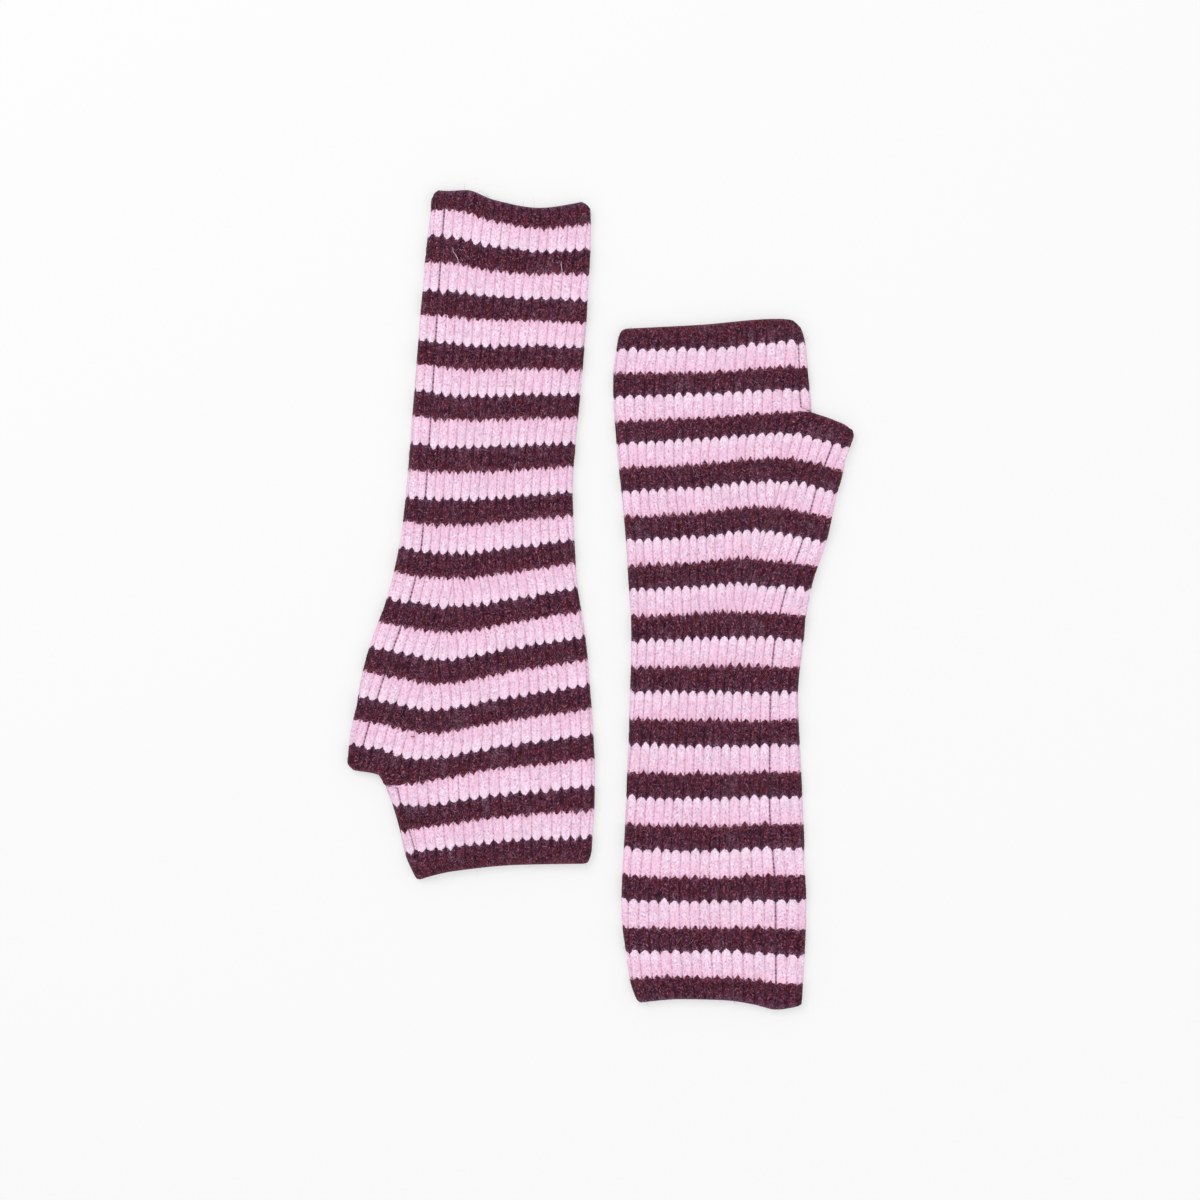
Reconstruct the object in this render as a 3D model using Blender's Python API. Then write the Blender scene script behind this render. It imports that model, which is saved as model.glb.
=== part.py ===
"""A pair of striped 1x1 rib wrist warmers, laid flat side by side.

Each warmer is one knitted panel. It is folded round the hand with the fold on the little finger's side, and its two
edges meet in one seam on the upper face near the thumb. Above the wrist the panel widens by a gusset: a new rib
starts beside the same line every stripe. The gusset's ribs are cast off at the thumb hem, and from there the
narrower panel goes on to the hand hem, with its own seam at the fold.

A warmer is described by its course lines, the borders of its stripes: line 0 is the arm hem, 23 the thumb hem and
27 the hand hem. The tables below give where the main points of each line lie, in millimetres from the warmer's own
middle, with the thumb on the left and the hand towards -Y. The other warmer of the pair lies turned half round.
Everything is in metres in the file, +Z up, with the underside at z = 0.
"""

import math
from collections import namedtuple

import bmesh
import bpy
import numpy as np

MM = 0.001

# The knitted cloth, in millimetres
WALL = 1.75            # through a groove between two ribs, and all over the plain underside
RIB_HEIGHT = 0.9       # a rib's crest above the grooves
LAYER_GAP = 0.4        # air between the two layers that lie on each other
SEAM_GAP = 0.3         # between the two edges of the panel
FOLD_INSET = 0.45      # the fold's groove level lies this far inside the outline, which the crests reach
TOP = 2 * WALL + LAYER_GAP
FOLD_RADIUS = TOP / 2
QUARTER_TURN = math.pi / 2 * FOLD_RADIUS

# Ribs, counted across the panel from one edge to the other
LEAN_RIBS = 4          # between the seam and the gusset's line, leaning with the thumb side
GUSSET_RIBS = 7        # started one a stripe
BODY_RIBS = 14         # from the gusset's line to past the fold
HAND_STRIP_RIBS = 3    # the last ribs before the hand seam, round the fold
STRIP_RIBS = 4         # the last ribs before the side seam, round the fold
BACK_PANELS = 5        # plain strips across the underside of the hand and arm
THUMB_BACK_PANELS = 3  # plain strips across the underside of the thumb
GUSSET_START = 14      # course line where the first gusset rib begins
GUSSET_GROWTH = 1.5    # stripes that a new rib takes to reach its full width
THUMB_HEM = 23         # course line of the thumb hem
HAND_RIB_CLOSES = 3.6  # stripes over which the rib beside the hand seam narrows away
RIB_PROFILE = ((0.0, 0.0), (0.3, 1.0), (0.7, 1.0))   # place across a rib, height as a share of RIB_HEIGHT
HAND_STRIP_PROFILE = ((0.0, 0.0), (0.5, 1.0))

# The course lines that get a row of points
ARM_LINES = (0, 1, 2, 4, 6, 8, 10, 12, 14, 15, 16, 17, 18, 19, 20, 21, 22, 22.6, 23)
HAND_LINES = (23, 23.2, 23.45, 24, 25, 26, 26.6, 27)
# Where the hand seam lies on its way from the thumb opening's underside to the upper face: share of a quarter turn
SEAM_TURNS = ((23, -1.0), (23.2, 0.0), (23.45, 1.0))

# One row for each measured course line. x: thumb-side outline, side seam, the gusset's line, the lowest point of the
# line's bend, little-finger outline. ribs: body ribs between the gusset's line and the far outline.
# y: at the thumb-side outline, seam, middle of the leaning ribs, bend, middle of the body, far outline.
Line = namedtuple("Line", "line thumb_x seam_x gusset_x bend_x far_x ribs thumb_y seam_y lean_y bend_y mid_y far_y")
HandLine = namedtuple("HandLine", "line thumb_x seam_x bend_x far_x ribs thumb_y bend_y mid_y far_y")

LEFT_ARM = (
    Line(0, -16.9, -11.0, 6.5, 10.1, 52.6, 11.4, 153.2, 154.8, 154.8, 150.5, 146.9, 148.3),
    Line(1, -18.4, -11.9, 5.4, 9.2, 53.8, 11.6, 145.1, 145.8, 144.5, 140.9, 137.5, 139.5),
    Line(4, -22.3, -14.5, 1.7, 5.2, 52.6, 12.1, 110.0, 109.9, 109.4, 107.5, 106.4, 105.8),
    Line(8, -25.7, -17.3, -1.0, 2.5, 49.1, 12.5, 65.5, 63.9, 63.0, 62.6, 63.4, 63.2),
    Line(12, -29.5, -20.5, -4.7, -1.1, 45.7, 12.9, 17.1, 16.5, 16.2, 16.3, 17.7, 19.7),
    Line(14, -32.6, -22.5, -6.5, -4.7, 46.4, 12.8, -5.4, -7.1, -7.6, -7.6, -5.0, -2.0),
    Line(16, -38.0, -27.7, -10.3, -9.7, 47.9, 12.5, -28.1, -29.9, -31.1, -31.8, -28.4, -23.6),
    Line(18, -45.9, -35.3, -17.8, -14.2, 51.3, 12.3, -50.0, -52.2, -53.6, -55.9, -50.4, -45.2),
    Line(20, -51.1, -42.3, -25.0, -18.7, 53.3, 12.4, -72.2, -74.0, -75.5, -78.3, -72.5, -67.0),
    Line(22, -54.9, -48.4, -31.3, -25.0, 54.9, 12.4, -93.6, -94.8, -96.1, -100.4, -94.5, -89.3),
    Line(23, -55.8, -50.6, -33.4, -36.2, 55.6, 12.5, -102.4, -105.8, -106.4, -113.2, -105.5, -100.8),
)
LEFT_HAND = (
    HandLine(23, -39.4, -33.5, -32.2, 55.6, 12.5, -113.2, -111.4, -105.5, -100.8),
    HandLine(24, -35.6, -31.3, -27.7, 55.6, 12.5, -120.8, -121.2, -116.2, -112.5),
    HandLine(25, -32.6, -27.7, -24.1, 55.4, 12.5, -133.4, -132.1, -126.5, -123.5),
    HandLine(26, -30.2, -25.0, -21.4, 54.7, 12.5, -142.9, -141.7, -136.9, -135.0),
    HandLine(26.6, -27.7, -23.2, -19.6, 54.0, 12.5, -150.1, -149.2, -143.8, -142.9),
    HandLine(27, -22.7, -18.7, -15.1, 52.4, 12.5, -154.8, -153.2, -148.3, -147.8),
)
RIGHT_ARM = (
    Line(0, -31.1, -19.4, 0.0, 3.6, 43.2, 10.3, 153.2, 155.0, 152.8, 150.8, 150.3, 151.9),
    Line(1, -31.5, -19.1, 0.3, 4.0, 46.6, 10.4, 143.0, 142.4, 141.3, 140.1, 139.9, 140.6),
    Line(4, -32.9, -18.9, 1.5, 5.0, 50.4, 10.9, 106.4, 106.2, 106.2, 106.7, 106.7, 105.8),
    Line(8, -31.1, -16.2, 1.8, 5.4, 48.1, 11.3, 59.6, 59.7, 59.9, 60.5, 60.5, 59.8),
    Line(12, -29.4, -16.6, 0.2, 3.8, 46.4, 11.8, 12.6, 13.1, 13.1, 12.8, 12.8, 12.6),
    Line(14, -31.7, -18.7, -2.0, 1.4, 45.9, 11.9, -10.3, -11.5, -11.8, -11.7, -10.9, -10.1),
    Line(16, -34.9, -23.9, -7.0, -4.0, 47.0, 12.2, -33.3, -34.6, -34.8, -36.0, -34.2, -33.1),
    Line(18, -41.9, -31.3, -14.8, -11.7, 48.4, 12.2, -54.9, -56.6, -58.1, -59.9, -56.8, -55.4),
    Line(20, -47.0, -37.4, -21.4, -17.6, 50.4, 12.2, -77.0, -79.2, -80.9, -81.9, -79.0, -77.2),
    Line(22, -50.9, -44.6, -27.0, -23.9, 52.4, 12.4, -98.6, -100.1, -102.1, -103.9, -100.8, -98.8),
    Line(23, -53.8, -48.6, -30.4, -32.9, 53.3, 12.3, -104.0, -108.0, -112.0, -113.6, -111.1, -109.0),
)
RIGHT_HAND = (
    HandLine(23, -37.8, -31.5, -30.2, 53.3, 12.3, -113.6, -113.3, -111.1, -109.0),
    HandLine(24, -35.0, -29.7, -26.1, 54.0, 12.3, -124.0, -124.0, -121.7, -120.2),
    HandLine(25, -34.2, -29.5, -25.7, 53.8, 12.3, -133.4, -133.8, -131.2, -130.9),
    HandLine(26, -33.1, -29.0, -25.2, 52.6, 12.3, -144.5, -145.3, -141.8, -141.5),
    HandLine(26.6, -31.5, -27.9, -23.9, 51.5, 12.3, -150.3, -151.2, -148.1, -147.2),
    HandLine(27, -27.0, -23.9, -19.8, 50.0, 12.3, -154.9, -155.3, -152.6, -150.8),
)

# Where each warmer's own middle lies, in millimetres, and how far it is turned
LEFT_PLACE = (-57.85, 29.25, 0.0)
RIGHT_PLACE = (59.85, -29.0, math.pi)

WOOL_COLOUR = (0.22, 0.075, 0.11, 1.0)
WOOL_ROUGHNESS = 0.9


def glide(at, marks, values):
    """Smooth curve through the marks that never overshoots a value; level beyond the first and last mark."""
    marks = np.asarray(marks, dtype=float)
    values = np.asarray(values, dtype=float)
    span = np.diff(marks)
    rise = np.diff(values) / span
    slope = np.empty_like(values)
    slope[0] = rise[0]
    slope[-1] = rise[-1]
    before = rise[:-1]
    after = rise[1:]
    same_way = before * after > 0
    slope[1:-1] = np.where(same_way, 2 * before * after / np.where(same_way, before + after, 1), 0)
    at = np.clip(at, marks[0], marks[-1])
    piece = np.clip(np.searchsorted(marks, at, side="right") - 1, 0, len(span) - 1)
    t = (at - marks[piece]) / span[piece]
    start = (1 + 2 * t) * (1 - t) ** 2 * values[piece] + t * (1 - t) ** 2 * span[piece] * slope[piece]
    end = t * t * (3 - 2 * t) * values[piece + 1] + t * t * (t - 1) * span[piece] * slope[piece + 1]
    return start + end


def line_at(table, line):
    """The table's row at any course line, between the measured ones too."""
    marks = [row.line for row in table]
    return type(table[0])(*(float(glide(line, marks, column)) for column in zip(*table)))


def gusset_widths(line):
    """Width of each gusset rib at a course line, as a share of a full rib, the last one started first."""
    widths = []
    for started in reversed(range(GUSSET_RIBS)):
        grown = (line - GUSSET_START - started) / GUSSET_GROWTH
        widths.append(min(max(grown, 0.0), 1.0))
    if line > THUMB_HEM:
        widths[0] *= max(0.0, 1 - (line - THUMB_HEM) / HAND_RIB_CLOSES)
    return widths


class Course:
    """One course line round a warmer: its outline, its way round the two folds and the places of its ribs.

    A place on it is its way along the groove-level surface from the thumb-side outline, over the upper face to the
    far outline and back underneath.
    """

    def __init__(self, arm_table, hand_table, line, on_hand):
        row = line_at(hand_table if on_hand else arm_table, line)
        self.thumb_fold = row.thumb_x + FOLD_INSET
        self.far_fold = row.far_x - FOLD_INSET
        self.face = self.far_fold - self.thumb_fold - 2 * FOLD_RADIUS + 2 * QUARTER_TURN
        middle_x = (row.bend_x + row.far_x) / 2
        if on_hand:
            self.x_marks = (row.thumb_x, row.bend_x, middle_x, row.far_x)
            self.y_marks = (row.thumb_y, row.bend_y, row.mid_y, row.far_y)
        else:
            lean_x = (row.seam_x + row.gusset_x) / 2
            self.x_marks = (row.thumb_x, row.seam_x, lean_x, row.bend_x, middle_x, row.far_x)
            self.y_marks = (row.thumb_y, row.seam_y, row.lean_y, row.bend_y, row.mid_y, row.far_y)
        widths = gusset_widths(line)
        if on_hand:
            self.places, self.heights = self.hand_places(row, line, widths)
        else:
            crotch_x = hand_table[0].thumb_x + FOLD_INSET + FOLD_RADIUS
            self.places, self.heights = self.arm_places(row, crotch_x, widths)

    def way(self, x):
        """Way round from the thumb-side outline to an x on the upper face."""
        return x - self.thumb_fold - FOLD_RADIUS + QUARTER_TURN

    def front_ribs(self, start, row, widths):
        """Places of the rib borders after the gusset's line, round the far fold, and that row's rib width."""
        width = (self.face - start) / (row.ribs + sum(widths))
        places = list(start + width * np.cumsum(widths))
        places += [places[-1] + width * rib for rib in range(1, BODY_RIBS + 1)]
        return places, width

    def arm_places(self, row, crotch_x, widths):
        """Places of all strips' borders between the panel's two edges, from arm hem to thumb hem."""
        edge = self.way(row.seam_x) + SEAM_GAP / 2
        gusset = self.way(row.gusset_x)
        hand_start = self.way(crotch_x) if row.line == THUMB_HEM else gusset
        lean_width = (hand_start - edge) / LEAN_RIBS
        places = [edge + lean_width * rib for rib in range(LEAN_RIBS + 1)]
        ribs, width = self.front_ribs(gusset, row, widths)
        places += ribs
        hand_edge = 2 * self.face - hand_start
        strip_start = hand_edge - HAND_STRIP_RIBS * width
        places += list(np.linspace(places[-1], strip_start, BACK_PANELS + 1)[1:])
        places += [strip_start + width * rib for rib in range(1, HAND_STRIP_RIBS + 1)]
        last = 2 * self.face + edge - SEAM_GAP
        turn = last - STRIP_RIBS * lean_width
        places += list(np.linspace(hand_edge, turn, THUMB_BACK_PANELS + 1)[1:])
        places += [turn + lean_width * rib for rib in range(1, STRIP_RIBS + 1)]
        full = [1.0]
        heights = full * LEAN_RIBS + widths + full * BODY_RIBS + [0.0] * (BACK_PANELS + HAND_STRIP_RIBS)
        heights += [0.0] * THUMB_BACK_PANELS + full * STRIP_RIBS
        return places, heights

    def hand_places(self, row, line, widths):
        """The same from thumb hem to hand hem, where the panel is narrower and its seam rolls up over the fold."""
        lines, turns = zip(*SEAM_TURNS)
        seam = self.way(row.seam_x)
        ribs, width = self.front_ribs(seam, row, widths)
        if line <= lines[-1]:
            seam = QUARTER_TURN * float(np.interp(line, lines, turns))
        places = [seam + SEAM_GAP / 2] + ribs
        hand_edge = 2 * self.face + seam - SEAM_GAP / 2
        strip_start = hand_edge - HAND_STRIP_RIBS * width
        places += list(np.linspace(places[-1], strip_start, BACK_PANELS + 1)[1:])
        places += [strip_start + width * rib for rib in range(1, HAND_STRIP_RIBS + 1)]
        full = [1.0]
        heights = widths + full * BODY_RIBS + [0.0] * BACK_PANELS + full * HAND_STRIP_RIBS
        return places, heights

    def point(self, place, height):
        """Outer and inner point of the wall at a place, the outer one raised to a share of the rib's height."""
        if place < self.face / 2:
            fold, inward, along = self.thumb_fold, 1, place
        elif place < self.face * 1.5:
            fold, inward, along = self.far_fold, -1, self.face - place
        else:
            fold, inward, along = self.thumb_fold, 1, place - 2 * self.face
        turn = min(max(along, -QUARTER_TURN), QUARTER_TURN)
        flat = abs(along) - abs(turn)
        angle = turn / FOLD_RADIUS
        middle_x = fold + inward * (FOLD_RADIUS + flat)
        out_x = -inward * math.cos(angle)
        out_z = math.sin(angle)
        shown = (turn / QUARTER_TURN + 1) / 2
        raised = RIB_HEIGHT * height * shown * shown * (3 - 2 * shown)
        outer = FOLD_RADIUS + raised
        inner = LAYER_GAP / 2
        y = float(glide(middle_x + out_x * FOLD_RADIUS, self.x_marks, self.y_marks))
        return (
            (middle_x + out_x * outer, y, FOLD_RADIUS + out_z * outer),
            (middle_x + out_x * inner, y, FOLD_RADIUS + out_z * inner),
        )


def profiles(on_hand):
    """For each strip across the panel, the points of its outer face between its borders."""
    plain = (RIB_PROFILE[0],)
    body = [RIB_PROFILE] * (GUSSET_RIBS + BODY_RIBS) + [plain] * BACK_PANELS + [HAND_STRIP_PROFILE] * HAND_STRIP_RIBS
    if on_hand:
        return body
    return [RIB_PROFILE] * LEAN_RIBS + body + [plain] * THUMB_BACK_PANELS + [RIB_PROFILE] * STRIP_RIBS


def course_points(bm, course, on_hand):
    """The row of points along a course: outer points by strip, and inner points at the strips' borders."""
    outer = []
    inner = []
    for strip, profile in enumerate(profiles(on_hand)):
        start, end = course.places[strip : strip + 2]
        points = []
        for share, height in profile:
            out_point, in_point = course.point(start + (end - start) * share, height * course.heights[strip])
            points.append(bm.verts.new([value * MM for value in out_point]))
            if share == 0:
                inner.append(bm.verts.new([value * MM for value in in_point]))
        outer.append(points)
    out_point, in_point = course.point(course.places[-1], 0.0)
    outer.append([bm.verts.new([value * MM for value in out_point])])
    inner.append(bm.verts.new([value * MM for value in in_point]))
    return outer, inner


def strip_edge(row, strip):
    """Outer points of one strip, from its first border to its last."""
    outer, _ = row
    return outer[strip] + [outer[strip + 1][0]]


def wall_between(bm, upper, lower):
    """Outer and inner faces of the wall between two courses, the lower one nearer the hand."""
    for strip in range(len(upper[0]) - 1):
        top = strip_edge(upper, strip)
        bottom = strip_edge(lower, strip)
        for step in range(len(top) - 1):
            bm.faces.new((top[step], bottom[step], bottom[step + 1], top[step + 1]))
        bm.faces.new((upper[1][strip], upper[1][strip + 1], lower[1][strip + 1], lower[1][strip]))


def hem(bm, row, strips, towards_hand):
    """Edge of the wall along a course, one face for each strip."""
    for strip in strips:
        ring = strip_edge(row, strip) + [row[1][strip + 1], row[1][strip]]
        bm.faces.new(ring if not towards_hand else ring[::-1])


def panel_edges(bm, upper, lower):
    """Both side edges of the panel between two courses."""
    bm.faces.new((upper[0][0][0], upper[1][0], lower[1][0], lower[0][0][0]))
    bm.faces.new((upper[0][-1][0], lower[0][-1][0], lower[1][-1], upper[1][-1]))


def hand_part(row):
    """The stretch of an arm course that the hand goes on with."""
    first = LEAN_RIBS
    last = len(row[0]) - 1 - THUMB_BACK_PANELS - STRIP_RIBS
    return row[0][first:last] + [[row[0][last][0]]], row[1][first : last + 1]


def warmer(name, arm_table, hand_table, place, material):
    """One warmer as a single closed wall."""
    bm = bmesh.new()
    arm_rows = [course_points(bm, Course(arm_table, hand_table, line, False), False) for line in ARM_LINES]
    hand_rows = [hand_part(arm_rows[-1])]
    hand_rows += [course_points(bm, Course(arm_table, hand_table, line, True), True) for line in HAND_LINES[1:]]
    for rows in (arm_rows, hand_rows):
        for upper, lower in zip(rows, rows[1:]):
            wall_between(bm, upper, lower)
            panel_edges(bm, upper, lower)
    strips = len(arm_rows[0][0]) - 1
    hem(bm, arm_rows[0], range(strips), towards_hand=False)
    thumb_strips = [*range(LEAN_RIBS), *range(strips - THUMB_BACK_PANELS - STRIP_RIBS, strips)]
    hem(bm, arm_rows[-1], thumb_strips, towards_hand=True)
    hem(bm, hand_rows[-1], range(len(hand_rows[-1][0]) - 1), towards_hand=True)
    bmesh.ops.remove_doubles(bm, verts=bm.verts, dist=0.00001)

    mesh = bpy.data.meshes.new(name)
    bm.to_mesh(mesh)
    bm.free()
    mesh.shade_smooth()
    mesh.set_sharp_from_angle(angle=math.radians(60))
    mesh.materials.append(material)
    piece = bpy.data.objects.new(name, mesh)
    bpy.context.scene.collection.objects.link(piece)
    piece.location = (place[0] * MM, place[1] * MM, 0)
    piece.rotation_euler = (0, 0, place[2])
    return piece


def wool():
    """Soft melange wool in one plain mid colour of the two stripes."""
    material = bpy.data.materials.new("striped_wool")
    material.use_nodes = True
    shader = material.node_tree.nodes["Principled BSDF"]
    shader.inputs["Base Color"].default_value = WOOL_COLOUR
    shader.inputs["Roughness"].default_value = WOOL_ROUGHNESS
    shader.inputs["Metallic"].default_value = 0.0
    return material


for leftover in list(bpy.data.objects):
    bpy.data.objects.remove(leftover, do_unlink=True)
yarn = wool()
warmer("left_warmer", LEFT_ARM, LEFT_HAND, LEFT_PLACE, yarn)
warmer("right_warmer", RIGHT_ARM, RIGHT_HAND, RIGHT_PLACE, yarn)
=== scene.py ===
"""Looks of a pair of striped 1x1 rib wrist warmers, laid flat side by side on a pale surface.

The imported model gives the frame. Each warmer's solid is replaced by the knitted cloth itself, stitch by
stitch, and gets its seam thread and its loose fibres. The left one also has three stray strands. Sizes are in
millimetres in each warmer's own axes, with its thumb on the left and its hand towards -Y, and go into the
meshes in metres.
"""

import math
from collections import namedtuple

import bmesh
import bpy
import numpy as np
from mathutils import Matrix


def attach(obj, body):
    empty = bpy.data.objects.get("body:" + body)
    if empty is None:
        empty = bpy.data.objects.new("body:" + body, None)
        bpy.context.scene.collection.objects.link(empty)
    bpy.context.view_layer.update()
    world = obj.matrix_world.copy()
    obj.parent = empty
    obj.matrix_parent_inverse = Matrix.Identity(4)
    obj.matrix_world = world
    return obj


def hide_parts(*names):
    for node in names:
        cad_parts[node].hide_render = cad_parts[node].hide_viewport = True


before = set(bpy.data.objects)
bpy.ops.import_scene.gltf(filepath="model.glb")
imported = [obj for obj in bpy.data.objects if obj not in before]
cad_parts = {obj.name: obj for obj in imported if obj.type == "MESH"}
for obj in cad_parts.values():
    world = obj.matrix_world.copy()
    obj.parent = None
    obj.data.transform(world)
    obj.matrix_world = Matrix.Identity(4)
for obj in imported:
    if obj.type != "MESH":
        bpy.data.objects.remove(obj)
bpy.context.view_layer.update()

# The knitted cloth: each warmer is one panel of woollen yarn in 1x1 rib, widened by a thumb gusset and folded
# round the hand, so that its two edges meet on the upper face near the thumb. From the thumb hem a narrower
# panel goes on to the hand hem. All hems are bound off, and every stitch is a V that points towards the hand.

MM = 0.001

# Two layers, as thick and as far apart as in the solid, with the panel's edges drawn together by the sewing
WALL = 1.75
RIB_HEIGHT = 0.9
LAYER_GAP = 0.4
SEAM_GAP = 0.025
FOLD_INSET = 0.45        # of the plain fold from the outline, which the ribs on it reach
FOLD_RADIUS = WALL + LAYER_GAP / 2
QUARTER_TURN = math.pi / 2 * FOLD_RADIUS

# Ribs across the panel, from one edge to the other
LEAN_RIBS = 4
GUSSET_RIBS = 7
BODY_RIBS = 14
BACK_RIBS = 12
HAND_STRIP_RIBS = 3
THUMB_BACK_RIBS = 5
STRIP_RIBS = 4
FRONT_RIBS = LEAN_RIBS + GUSSET_RIBS + BODY_RIBS
PANEL_RIBS = FRONT_RIBS + BACK_RIBS + HAND_STRIP_RIBS + THUMB_BACK_RIBS + STRIP_RIBS

# Lines down the warmer, counted in stripes from the arm hem
GUSSET_START = 14
GUSSET_GROWTH = 1.5      # in which a new rib reaches its full width
THUMB_HEM = 23
HAND_HEM = 27
HAND_RIB_CLOSES = 3.6    # in which the last new rib closes again on the hand

# Stitches, and a rib's profile as shares of its width and of its height
COURSES = 6              # to a stripe
COURSE_ROWS = 3          # rows of points to a course
LINE_ROWS = COURSES * COURSE_ROWS
COURSE_MARKS = COURSES * HAND_HEM + 1
STRIPE_LENGTH = 11.5
FRONT_RIB = ((0.0, 0.0), (0.12, 0.62), (0.3, 1.0), (0.5, 0.88), (0.7, 1.0), (0.88, 0.62))
BACK_RIB = ((0.0, 0.0), (0.5, 1.0))
STITCH_DEPTH = 0.16      # crease between two courses on a rib
PLUMPNESS = 0.07         # how much the stitches differ in height
BACK_GROOVE = 0.5        # grooves of the pressed underside, which lies on its ribs
V_DEPTH = 0.19           # from the sides of a V to its point, in stripes
V_UNEVENNESS = 0.034
V_SHARPNESS = 1.35       # halfway along a stripe, and how far it goes from that at the borders
V_SHARPNESS_CHANGE = 0.55
RIB_WANDER = 0.13        # how far a border between two ribs strays, slowly and from course to course
RIB_JITTER = 0.05
RIB_WANDER_STEP = 1.5    # in stripes
STEADY_BORDERS = 12      # at either edge of the panel, which stay on their lines

# Bound-off edges
BOUND_OFF = 0.45         # courses that one takes up
EDGE_ROUNDING = 1.9      # over which it thins out
EDGE_THINNED = 0.94

# The crotch, where the sewing draws both layers together
CROTCH_LINES = 0.5       # over which the hand panel's edge swings to the crotch
CROTCH_SWING = 1.5
CROTCH_REACH = 3.2
CROTCH_DRAWN = 0.9       # of the way to the layers' meeting
LEVEL_EDGE = 0.3         # of a rib at the hand panel's edges, where the V is left out
HAND_SETTLES = (0.15, 1.5, 0.15, 0.15, 0.15)   # lines in which each value of a point takes the hand's lay
SEAM_RISE = (23, 23.05, 23.11, 23.2)   # lines where the hand seam rounds the fold and reaches its own line
SEAM_ROLLED = 0.7        # of the fold's quarter turn at the second of them

# One course: its line, and the x of the thumb-side outline, seam, gusset, bend and far outline, the ribs seen
# between the gusset and the far outline, and the y at these places and halfway between them
Line = namedtuple(
    "Line", "line thumb_x seam_x gusset_x bend_x far_x ribs thumb_y seam_y lean_y bend_y mid_y far_y"
)
HandLine = namedtuple("HandLine", "line thumb_x seam_x bend_x far_x ribs thumb_y bend_y mid_y far_y")

LEFT_ARM = (
    Line(0, -16.3, -11.0, 6.5, 10.1, 51.2, 11.4, 154.9, 154.5, 154.9, 150.5, 146.9, 149.7),
    Line(0.35, -18.0, -11.3, 6.1, 9.8, 53.6, 11.5, 150.4, 151.7, 151.2, 147.1, 143.6, 145.9),
    Line(1, -18.4, -11.9, 5.4, 9.2, 53.8, 11.6, 145.1, 145.8, 144.5, 140.9, 137.5, 139.5),
    Line(4, -22.3, -14.5, 1.7, 5.2, 52.6, 12.1, 110.0, 109.9, 109.4, 107.5, 106.4, 105.8),
    Line(8, -25.7, -17.3, -1.0, 2.5, 49.1, 12.5, 65.5, 63.9, 63.0, 62.6, 63.4, 63.2),
    Line(12, -29.5, -20.5, -4.7, -1.1, 45.7, 12.9, 17.1, 16.5, 16.2, 16.3, 17.7, 19.7),
    Line(14, -32.6, -22.5, -6.5, -4.7, 46.4, 12.8, -5.4, -7.1, -7.6, -7.6, -5.0, -2.0),
    Line(16, -38.0, -27.7, -10.3, -9.7, 47.9, 12.5, -28.1, -29.9, -31.1, -31.8, -28.4, -23.6),
    Line(18, -45.9, -35.3, -17.8, -14.2, 51.3, 12.3, -50.0, -52.2, -53.6, -55.9, -50.4, -45.2),
    Line(20, -51.1, -42.3, -25.0, -18.7, 53.3, 12.4, -72.2, -74.0, -75.5, -78.3, -72.5, -67.0),
    Line(22, -54.9, -48.4, -31.3, -25.0, 54.9, 12.4, -93.6, -94.8, -96.1, -100.4, -94.5, -89.3),
    Line(22.7, -55.7, -49.9, -32.8, -34.2, 55.4, 12.5, -101.4, -102.6, -103.7, -108.9, -102.2, -97.4),
    Line(23, -54.4, -50.6, -33.4, -38.2, 55.6, 12.5, -105.6, -106.1, -107.6, -112.6, -105.5, -100.8),
)
LEFT_HAND = (
    HandLine(23, -39.0, -33.5, -32.2, 55.6, 12.5, -112.8, -111.2, -105.5, -100.8),
    HandLine(24, -36.2, -31.3, -27.7, 55.6, 12.5, -120.8, -121.2, -116.2, -112.5),
    HandLine(25, -32.6, -27.7, -24.1, 55.4, 12.5, -133.4, -132.1, -126.5, -123.5),
    HandLine(26, -30.2, -25.0, -21.4, 54.7, 12.5, -142.9, -141.7, -136.9, -135.0),
    HandLine(26.6, -27.7, -23.2, -19.6, 54.0, 12.5, -150.1, -149.2, -143.8, -142.9),
    HandLine(27, -24.3, -18.7, -8.0, 52.4, 12.5, -154.9, -151.1, -148.2, -147.7),
)
RIGHT_ARM = (
    Line(0, -31.1, -19.4, 0.0, 3.6, 43.2, 10.3, 153.2, 155.0, 152.8, 150.8, 150.3, 151.9),
    Line(1, -31.5, -19.1, 0.3, 4.0, 46.6, 10.4, 143.0, 142.4, 141.3, 140.1, 139.9, 140.6),
    Line(4, -32.9, -18.9, 1.5, 5.0, 50.4, 10.9, 106.4, 106.2, 106.2, 106.7, 106.7, 105.8),
    Line(8, -31.1, -16.2, 1.8, 5.4, 48.1, 11.3, 59.6, 59.7, 59.9, 60.5, 60.5, 59.8),
    Line(12, -29.4, -16.6, 0.2, 3.8, 46.4, 11.8, 12.6, 13.1, 13.1, 12.8, 12.8, 12.6),
    Line(14, -31.7, -18.7, -2.0, 1.4, 45.9, 11.9, -10.3, -11.5, -11.8, -11.7, -10.9, -10.1),
    Line(16, -34.9, -23.9, -7.0, -4.0, 47.0, 12.2, -33.3, -34.6, -34.8, -36.0, -34.2, -33.1),
    Line(18, -41.9, -31.3, -14.8, -11.7, 48.4, 12.2, -54.9, -56.6, -58.1, -59.9, -56.8, -55.4),
    Line(20, -47.0, -37.4, -21.4, -17.6, 50.4, 12.2, -77.0, -79.2, -80.9, -81.9, -79.0, -77.2),
    Line(22, -52.4, -44.6, -27.0, -23.9, 52.4, 12.4, -96.8, -98.9, -101.3, -103.5, -100.8, -98.8),
    Line(22.6, -54.2, -47.0, -29.0, -29.3, 52.9, 12.3, -103.2, -105.0, -107.7, -109.6, -107.0, -104.9),
    Line(23, -53.0, -48.6, -30.4, -32.9, 53.3, 12.3, -106.4, -108.5, -111.9, -113.6, -111.1, -109.0),
)
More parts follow.
